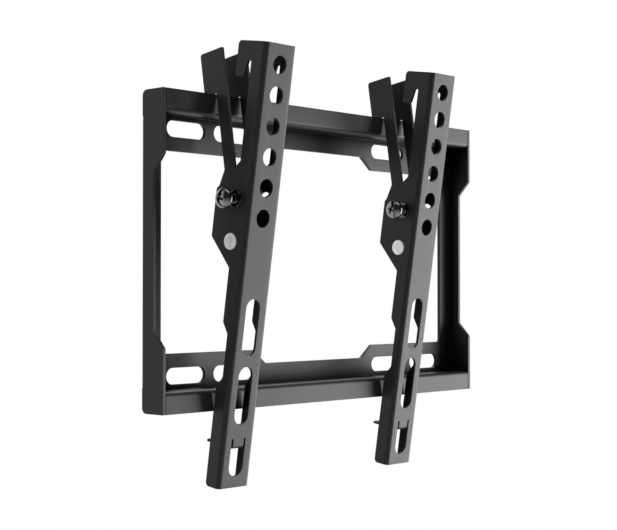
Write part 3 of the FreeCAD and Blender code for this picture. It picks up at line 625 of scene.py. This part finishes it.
def powder_coat(name, settings):
    """Fine matt black powder coat with a slight orange peel, a painted highlight on the cut edges, and
    painted shade in its folds and recesses that darkens the colour and weakens the gloss.
    """
    material, nodes, links, shader = new_material(name)
    place = nodes.new("ShaderNodeTexCoord").outputs["Object"]
    grain = noise(nodes, links, place, scale=1.0 / settings.grain, detail=2.0)
    peel = noise(nodes, links, place, scale=0.22 / settings.grain, detail=1.0)
    cloud = noise(nodes, links, place, scale=14.0, detail=2.0)
    dark = tint(settings.colour, 0.86)
    light = tint(settings.colour, 1.14)
    speck = tint(settings.colour, 1.9)
    painted_shade = tint(settings.colour, 0.2)
    base = mottle(nodes, links, cloud, dark, light)
    base = blend_colours(nodes, links, span(nodes, links, grain, low=-0.6, high=0.7), base, speck)
    # Painted highlight: the rounded cut edges take the lighter edge colour
    base = blend_colours(nodes, links, marked(nodes, CUT_EDGE), base, tuple(settings.edge_highlight))
    # Painted shade: deep in folds and recesses the colour darkens to a fifth of itself
    openness = openness_of(nodes, links, settings.recess)
    base = blend_colours(nodes, links, openness, painted_shade, base)
    links.new(base, shader.inputs["Base Color"])
    smoothest = settings.roughness - 0.05
    roughest = settings.roughness + 0.06
    links.new(span(nodes, links, grain, smoothest, roughest), shader.inputs["Roughness"])
    # The plain gloss on the socket holds where its link is dropped
    shader.inputs["Specular IOR Level"].default_value = settings.gloss
    # Painted shade: in folds and recesses the gloss also weakens to a twentieth
    gloss = span(nodes, links, openness, 0.05 * settings.gloss, settings.gloss, start=0.0, end=1.0)
    links.new(gloss, shader.inputs["Specular IOR Level"])
    peel_share = 1.2
    height = nodes.new("ShaderNodeMath")
    height.operation = "MULTIPLY_ADD"
    links.new(peel, height.inputs[0])
    height.inputs[1].default_value = peel_share
    links.new(grain, height.inputs[2])
    emboss(nodes, links, shader, height.outputs["Value"], strength=0.16, depth=0.00012)
    return material


def rivet_steel(name, settings):
    """Bare steel with faint pressing marks."""
    material, nodes, links, shader = new_material(name)
    place = nodes.new("ShaderNodeTexCoord").outputs["Object"]
    fine = noise(nodes, links, place, scale=2600.0, detail=3.0)
    broad = noise(nodes, links, place, scale=420.0, detail=2.0)
    base = mottle(nodes, links, broad, tint(settings.steel, 0.78), tuple(settings.steel))
    links.new(base, shader.inputs["Base Color"])
    links.new(span(nodes, links, fine, low=0.42, high=0.58), shader.inputs["Roughness"])
    shader.inputs["Metallic"].default_value = 0.75
    emboss(nodes, links, shader, fine, strength=0.1, depth=0.00008)
    return material


def black_zinc(name, settings):
    """Glossy black zinc plating on screws, washers and nuts, with a painted highlight on the screw domes and
    washer rims.
    """
    material, nodes, links, shader = new_material(name)
    place = nodes.new("ShaderNodeTexCoord").outputs["Object"]
    fine = noise(nodes, links, place, scale=1900.0, detail=3.0)
    broad = noise(nodes, links, place, scale=300.0, detail=2.0)
    base = mottle(nodes, links, broad, tint(settings.zinc, 0.55), tuple(settings.zinc))
    # Painted highlight where the mesh marks it
    base = blend_colours(nodes, links, marked(nodes, PAINTED_HIGHLIGHT), base, tuple(settings.highlight_colour))
    links.new(base, shader.inputs["Base Color"])
    shader.inputs["Metallic"].default_value = 1.0
    links.new(span(nodes, links, fine, low=0.08, high=0.15), shader.inputs["Roughness"])
    emboss(nodes, links, shader, fine, strength=0.06, depth=0.00006)
    return material


def finish_of(slot):
    """The material of a record slot, made once."""
    scene = bpy.context.scene
    name, maker, settings = {
        "powder_coat": ("matt_coat", powder_coat, scene.mount_coat),
        "bare_steel": ("rivet_steel", rivet_steel, scene.mount_hardware),
        "black_zinc": ("glossy_zinc", black_zinc, scene.mount_hardware),
    }[slot]
    return bpy.data.materials.get(name) or maker(name, settings)


# Pieces


def body_of(node):
    """The body that carries a node."""
    for body, nodes in frame["record"]["behaviour"]["bodies"].items():
        if node in nodes:
            return body
    raise RuntimeError(f"no body carries {node}")


def finish_piece(mesh_data, node, slot):
    """A bmesh becomes the shown piece of a node, in the node's place."""
    piece_name = f"{node}_finished"
    mesh = bpy.data.meshes.new(piece_name)
    for face in mesh_data.faces:
        face.smooth = True
    for edge in mesh_data.edges:
        edge.smooth = len(edge.link_faces) == 2 and edge.calc_face_angle(0.0) < SHARP
    mesh_data.to_mesh(mesh)
    mesh_data.free()
    piece = bpy.data.objects.new(piece_name, mesh)
    bpy.context.scene.collection.objects.link(piece)
    mesh.materials.append(finish_of(slot))
    weighted = piece.modifiers.new("Flat faces", "WEIGHTED_NORMAL")
    weighted.keep_sharp = True
    weighted.weight = FACE_WEIGHT
    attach(piece, body_of(node))
    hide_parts(node)


def finish_sheet(node):
    """The shown piece of a folded, coated sheet."""
    sheet = folded_sheet(node, bpy.context.scene.mount_coat.edge_round)
    finish_piece(sheet, node, "powder_coat")


# Stage parts


def ray_share(nodes, links, mirrored, unseen):
    """1 for rays from the camera or through glass, mirrored for reflections, unseen for all others."""
    path = nodes.new("ShaderNodeLightPath")
    direct = nodes.new("ShaderNodeMath")
    direct.operation = "MAXIMUM"
    links.new(path.outputs["Is Camera Ray"], direct.inputs[0])
    links.new(path.outputs["Is Transmission Ray"], direct.inputs[1])
    plain = span(nodes, links, direct.outputs["Value"], unseen, 1.0, start=0.0, end=1.0)
    share = nodes.new("ShaderNodeMapRange")
    links.new(path.outputs["Is Glossy Ray"], share.inputs["Value"])
    links.new(plain, share.inputs["To Min"])
    links.new(mirrored, share.inputs["To Max"])
    return share.outputs["Result"]


def mirrored_share(nodes, links, place, front_share):
    """Share of the white that a reflection keeps: all of it behind the mount, front_share before it."""
    parts = nodes.new("ShaderNodeSeparateXYZ")
    links.new(place, parts.inputs["Vector"])
    return span(nodes, links, parts.outputs["Y"], front_share, 1.0, start=0.0, end=WHITE_FROM)


def add_room(settings):
    """A white world that gives a little light from all round."""
    world = bpy.data.worlds.new("white_room")
    bpy.context.scene.world = world
    world.use_nodes = True
    nodes, links = world.node_tree.nodes, world.node_tree.links
    back = nodes["Background"]
    back.inputs["Color"].default_value = (1, 1, 1, 1)
    way = nodes.new("ShaderNodeTexCoord").outputs["Generated"]
    kept = mirrored_share(nodes, links, way, settings.front_share)
    links.new(ray_share(nodes, links, kept, settings.ambient), back.inputs["Strength"])


def floor_finish(settings):
    """Pale floor that takes a shadow under the mount and turns plain white away from it."""
    material, nodes, links, shader = new_material("pale_floor")
    shader.inputs["Base Color"].default_value = (FLOOR_SHADE, FLOOR_SHADE, FLOOR_SHADE, 1)
    shader.inputs["Roughness"].default_value = 0.9
    shader.inputs["Specular IOR Level"].default_value = 0.0
    glow = nodes.new("ShaderNodeEmission")
    glow.inputs["Color"].default_value = (1, 1, 1, 1)
    place = nodes.new("ShaderNodeTexCoord").outputs["Object"]
    away = nodes.new("ShaderNodeVectorMath")
    away.operation = "LENGTH"
    links.new(place, away.inputs[0])
    reach = settings.shadow_reach
    white = span(nodes, links, away.outputs["Value"], FLOOR_GLOW, 1.0, start=reach / 2, end=reach)
    kept = mirrored_share(nodes, links, place, settings.front_share)
    share = nodes.new("ShaderNodeMath")
    share.operation = "MULTIPLY"
    links.new(ray_share(nodes, links, kept, 0.0), share.inputs[0])
    links.new(white, share.inputs[1])
    both = nodes.new("ShaderNodeMixShader")
    links.new(share.outputs["Value"], both.inputs["Fac"])
    links.new(shader.outputs["BSDF"], both.inputs[1])
    links.new(glow.outputs["Emission"], both.inputs[2])
    links.new(both.outputs["Shader"], nodes["Material Output"].inputs["Surface"])
    return material


def add_floor(settings):
    """A wide flat floor below the mount."""
    floor_data = bmesh.new()
    bmesh.ops.create_grid(floor_data, x_segments=1, y_segments=1, size=FLOOR_REACH)
    mesh = bpy.data.meshes.new("floor")
    floor_data.to_mesh(mesh)
    floor_data.free()
    floor = bpy.data.objects.new("floor", mesh)
    floor.location.z = settings.floor_height
    bpy.context.scene.collection.objects.link(floor)
    mesh.materials.append(floor_finish(settings))


def face_along(thing, direction):
    """Turn a lamp or the camera to look along a direction."""
    thing.rotation_mode = "QUATERNION"
    thing.rotation_quaternion = direction.to_track_quat("-Z", "Y")


def add_lamp(name, power):
    """A soft rectangular lamp that faces the mount."""
    place, width, height = LAMPS[name]
    lamp = bpy.data.lights.new(name, "AREA")
    lamp.shape = "RECTANGLE"
    lamp.size = width
    lamp.size_y = height
    lamp.energy = power
    thing = bpy.data.objects.new(name, lamp)
    thing.location = place
    face_along(thing, Vector(LAMP_AIM) - Vector(place))
    bpy.context.scene.collection.objects.link(thing)
    return thing


def add_camera(settings):
    """The camera at the photograph's place, direction and lens."""
    camera = bpy.data.cameras.new("camera")
    camera.sensor_width = SENSOR_WIDTH
    camera.sensor_fit = "HORIZONTAL"
    camera.lens = settings.camera_lens
    camera.shift_x = settings.camera_slide
    camera.shift_y = settings.camera_rise
    camera.clip_start = NEAREST
    thing = bpy.data.objects.new("camera", camera)
    thing.location = settings.camera_place
    turn, pitch = settings.camera_turn, settings.camera_pitch
    forward = math.cos(pitch)
    face_along(thing, Vector((forward * math.sin(turn), forward * math.cos(turn), math.sin(pitch))))
    bpy.context.scene.collection.objects.link(thing)
    bpy.context.scene.camera = thing


# Operators


class MOUNT_OT_wall_plate(bpy.types.Operator):
    """Folded wall plate with rounded, coated edges"""

    bl_idname = "mount.wall_plate"
    bl_label = "Wall plate"

    def execute(self, context):
        finish_sheet("wall_plate")
        return {"FINISHED"}


class MOUNT_OT_tv_brackets(bpy.types.Operator):
    """The two channels that carry the screen"""

    bl_idname = "mount.tv_brackets"
    bl_label = "TV brackets"

    def execute(self, context):
        for side in SIDES:
            finish_sheet(f"{side}_arm_tv_bracket")
        return {"FINISHED"}


class MOUNT_OT_hook_brackets(bpy.types.Operator):
    """The two inner brackets that hang on the upper lip"""

    bl_idname = "mount.hook_brackets"
    bl_label = "Hook brackets"

    def execute(self, context):
        for side in SIDES:
            finish_sheet(f"{side}_arm_hook_bracket")
        return {"FINISHED"}


class MOUNT_OT_pivot_rivets(bpy.types.Operator):
    """The four pivot rivets"""

    bl_idname = "mount.pivot_rivets"
    bl_label = "Pivot rivets"

    def execute(self, context):
        for side in SIDES:
            for place, outward in (("left", -1), ("right", 1)):
                node = f"{side}_arm_rivet_{place}"
                finish_piece(rivet_shape(node, outward), node, "bare_steel")
        return {"FINISHED"}


class MOUNT_OT_tension_screws(bpy.types.Operator):
    """The two tension screws with thread and cross recess"""

    bl_idname = "mount.tension_screws"
    bl_label = "Tension screws"

    def execute(self, context):
        for side in SIDES:
            node = f"{side}_arm_tension_screw"
            finish_piece(screw_shape(node, context.scene.mount_hardware), node, "black_zinc")
        return {"FINISHED"}


class MOUNT_OT_washers(bpy.types.Operator):
    """Flat and spring washers"""

    bl_idname = "mount.washers"
    bl_label = "Washers"

    def execute(self, context):
        settings = context.scene.mount_hardware
        for side in SIDES:
            for name in ("flat_washer", "slot_washer"):
                node = f"{side}_arm_{name}"
                finish_piece(flat_washer_shape(node, settings), node, "black_zinc")
            node = f"{side}_arm_spring_washer"
            finish_piece(spring_washer_shape(node, settings), node, "black_zinc")
        return {"FINISHED"}


class MOUNT_OT_clamp_nuts(bpy.types.Operator):
    """The two nuts inside the channels"""

    bl_idname = "mount.clamp_nuts"
    bl_label = "Clamp nuts"

    def execute(self, context):
        for side in SIDES:
            node = f"{side}_arm_clamp_nut"
            finish_piece(nut_shape(node, context.scene.mount_hardware), node, "black_zinc")
        return {"FINISHED"}


class MOUNT_OT_stage(bpy.types.Operator):
    """White room, pale floor, soft lamps and the camera"""

    bl_idname = "mount.stage"
    bl_label = "Stage"

    def execute(self, context):
        settings = context.scene.mount_stage
        context.scene.view_settings.view_transform = "Standard"
        add_room(settings)
        add_floor(settings)
        add_lamp("key", settings.key_power)
        fill = add_lamp("fill", settings.fill_power)
        fill.visible_glossy = False
        add_lamp("top", settings.top_power)
        add_lamp("rim", settings.rim_power)
        add_camera(settings)
        return {"FINISHED"}


class MOUNT_PT_panel(bpy.types.Panel):
    """Settings and pieces of the wall mount"""

    bl_idname = "MOUNT_PT_panel"
    bl_label = "Wall mount"
    bl_space_type = "VIEW_3D"
    bl_region_type = "UI"
    bl_category = "Wall mount"

    def draw(self, context):
        layout = self.layout
        for settings in (context.scene.mount_coat, context.scene.mount_hardware, context.scene.mount_stage):
            for name in settings.__annotations__:
                layout.prop(settings, name)
        for operator in OPERATORS:
            layout.operator(operator.bl_idname)


SETTINGS = (CoatSettings, HardwareSettings, StageSettings)
OPERATORS = (MOUNT_OT_wall_plate, MOUNT_OT_tv_brackets, MOUNT_OT_hook_brackets, MOUNT_OT_pivot_rivets,
             MOUNT_OT_tension_screws, MOUNT_OT_washers, MOUNT_OT_clamp_nuts, MOUNT_OT_stage)


def register():
    """Add the settings, operators and panel."""
    for item in SETTINGS + OPERATORS + (MOUNT_PT_panel,):
        bpy.utils.register_class(item)
    bpy.types.Scene.mount_coat = bpy.props.PointerProperty(type=CoatSettings)
    bpy.types.Scene.mount_hardware = bpy.props.PointerProperty(type=HardwareSettings)
    bpy.types.Scene.mount_stage = bpy.props.PointerProperty(type=StageSettings)


def unregister():
    """Take the settings, operators and panel away again."""
    del bpy.types.Scene.mount_stage
    del bpy.types.Scene.mount_hardware
    del bpy.types.Scene.mount_coat
    for item in reversed(SETTINGS + OPERATORS + (MOUNT_PT_panel,)):
        bpy.utils.unregister_class(item)


def main():
    """Add the settings, and build every piece and the stage."""
    register()
    bpy.ops.mount.wall_plate()
    bpy.ops.mount.tv_brackets()
    bpy.ops.mount.hook_brackets()
    bpy.ops.mount.pivot_rivets()
    bpy.ops.mount.tension_screws()
    bpy.ops.mount.washers()
    bpy.ops.mount.clamp_nuts()
    bpy.ops.mount.stage()


if __name__ == "__main__":
    main()
